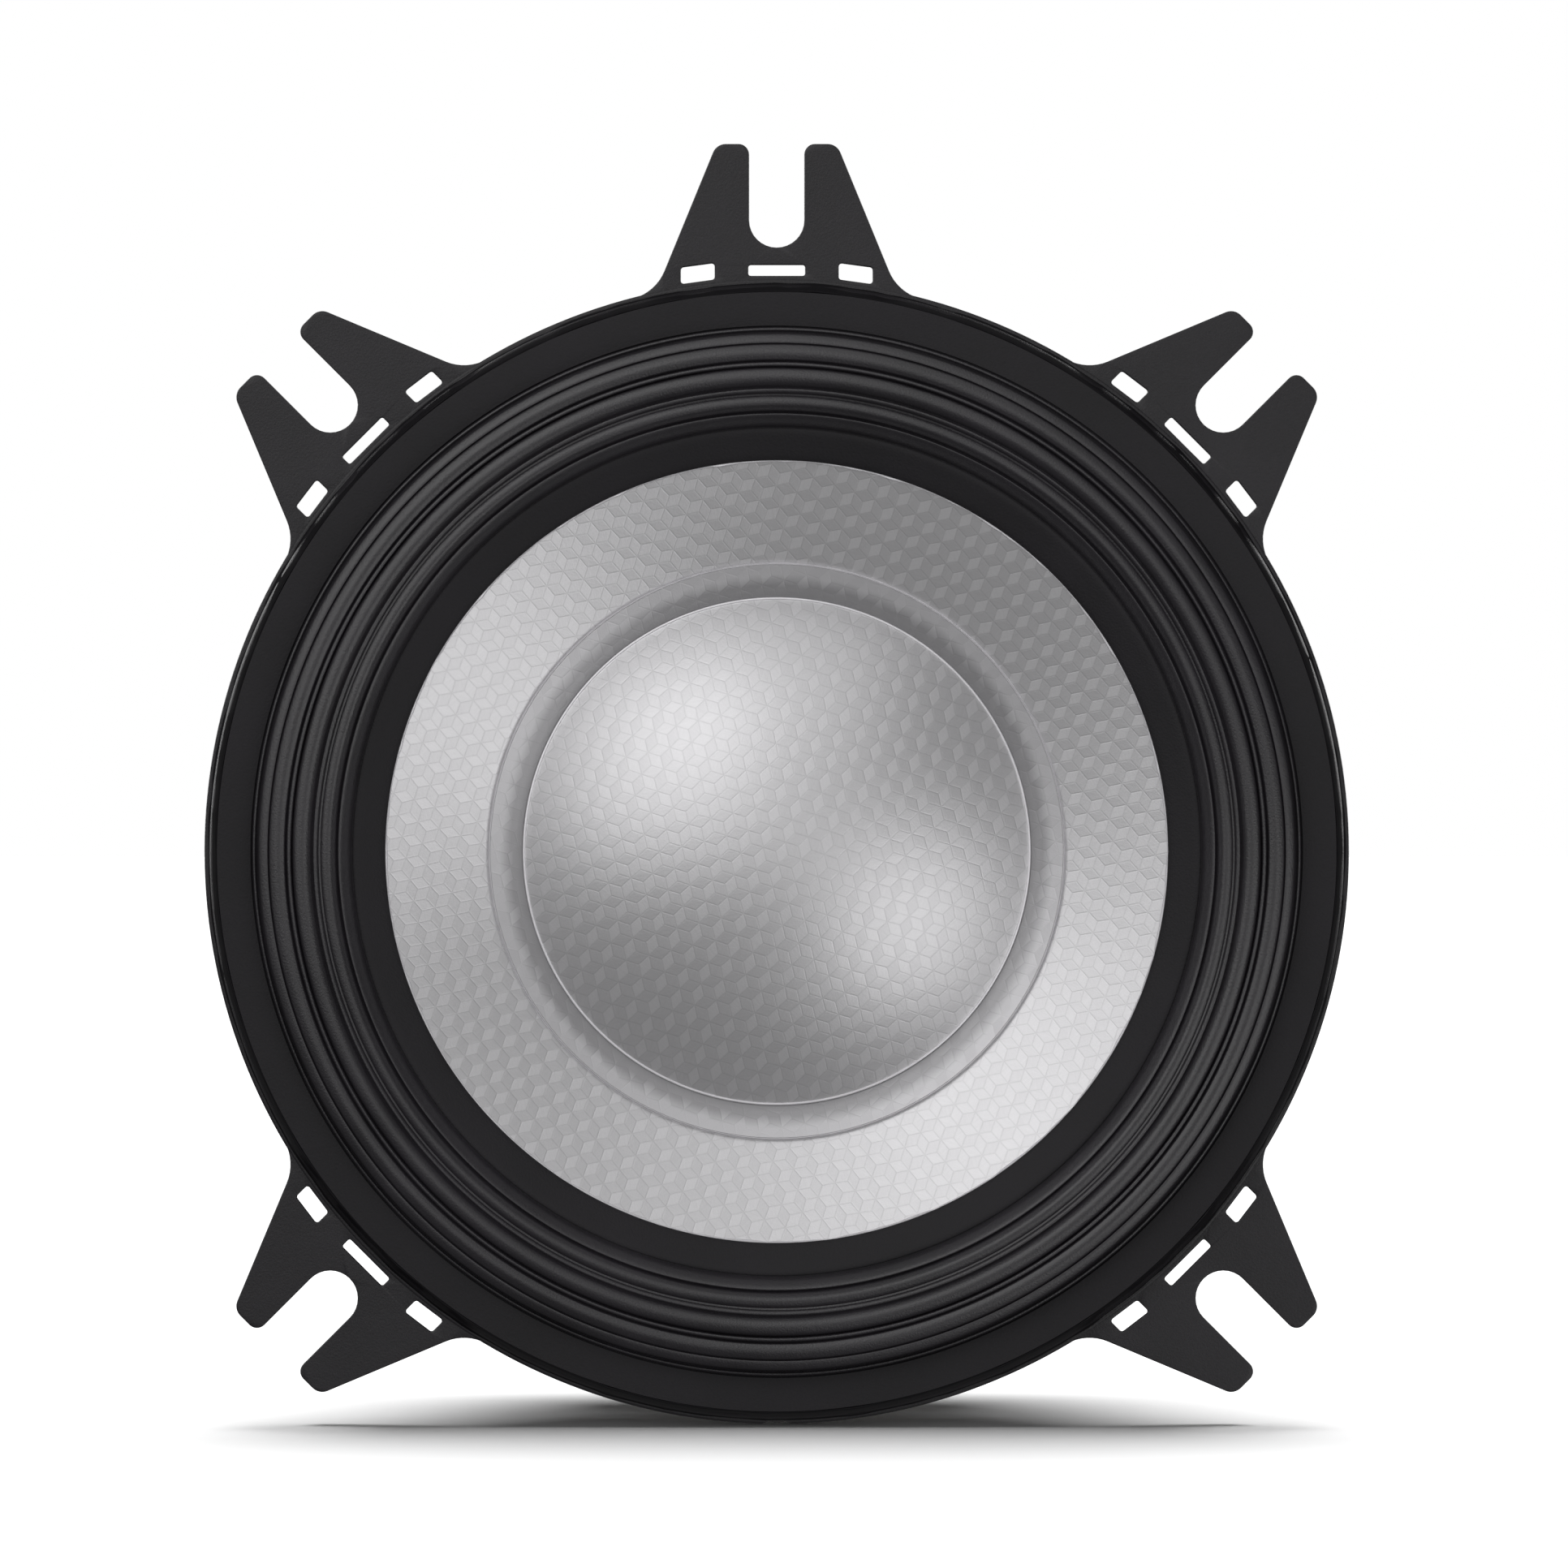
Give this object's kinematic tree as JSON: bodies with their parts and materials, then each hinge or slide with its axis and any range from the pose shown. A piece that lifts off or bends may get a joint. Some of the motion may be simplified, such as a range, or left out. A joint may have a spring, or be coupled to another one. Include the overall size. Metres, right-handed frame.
{
  "type": "car loudspeaker driver",
  "caption": "Ten-centimetre car speaker driver: woven cone and dust cap in a ribbed rubber surround, on a stamped basket with slotted ears and a ferrite motor.",
  "frame": {"origin": "on the speaker's axis, in the plane of the flange's back face", "axes": "-Y out of the cone towards the listener, +Z towards the single top ear, +X to the right seen from the front"},
  "size_m": [0.102, 0.0486, 0.1141],
  "materials": {
    "basket_steel": "black powder coat, fine grain, semi-matt",
    "surround_rubber": "matt black moulded rubber",
    "woven_cone": "silver-grey woven glass cloth set in resin",
    "glue": "clear adhesive bead",
    "dark_glue": "dark brown rubbery adhesive",
    "former_aluminium": "thin rolled sheet",
    "copper": "enamelled copper",
    "paper": "kraft paper wrap",
    "spider_cloth": "amber phenolic-treated cotton cloth",
    "zinc_steel": "zinc-plated low-carbon steel",
    "ferrite": "sintered hard ferrite, dark grey",
    "screen_mesh": "fine woven wire",
    "board_laminate": "brown phenolic laminate",
    "tinned_brass": "tin-plated stamped brass",
    "solder": "bright solder",
    "tinsel_braid": "copper tinsel braided over cotton"
  },
  "bodies": {
    "frame": {"basket_flange": "basket_steel", "basket_bowl": "basket_steel", "basket_base": "basket_steel", "top_plate": "zinc_steel", "magnet": "ferrite", "yoke": "zinc_steel", "copper_cap": "copper", "vent_screen": "screen_mesh", "plate_rivets": "zinc_steel", "terminal_board": "board_laminate", "terminal_positive": "tinned_brass", "terminal_negative": "tinned_brass", "solder_tags": "tinned_brass", "terminal_rivets": "tinned_brass", "board_rivet": "zinc_steel", "terminal_solder": "solder", "lead_positive": "tinsel_braid", "lead_negative": "tinsel_braid"},
    "moving_assembly": {"surround": "surround_rubber", "cone": "woven_cone", "dust_cap": "woven_cone", "cap_glue_bead": "glue", "neck_glue": "dark_glue", "voice_coil_former": "former_aluminium", "voice_coil_winding": "copper", "coil_collar": "paper", "spider": "spider_cloth", "lead_joints": "solder"}
  },
  "joints": [
    {"name": "cone_excursion", "type": "slide", "parent": "frame", "child": "moving_assembly", "axis": [0, -1, 0], "range_m": [-0.003, 0.003], "stiffness_N_per_m": 1500, "deforming": ["surround", "spider", "lead_positive", "lead_negative"]}
  ]
}
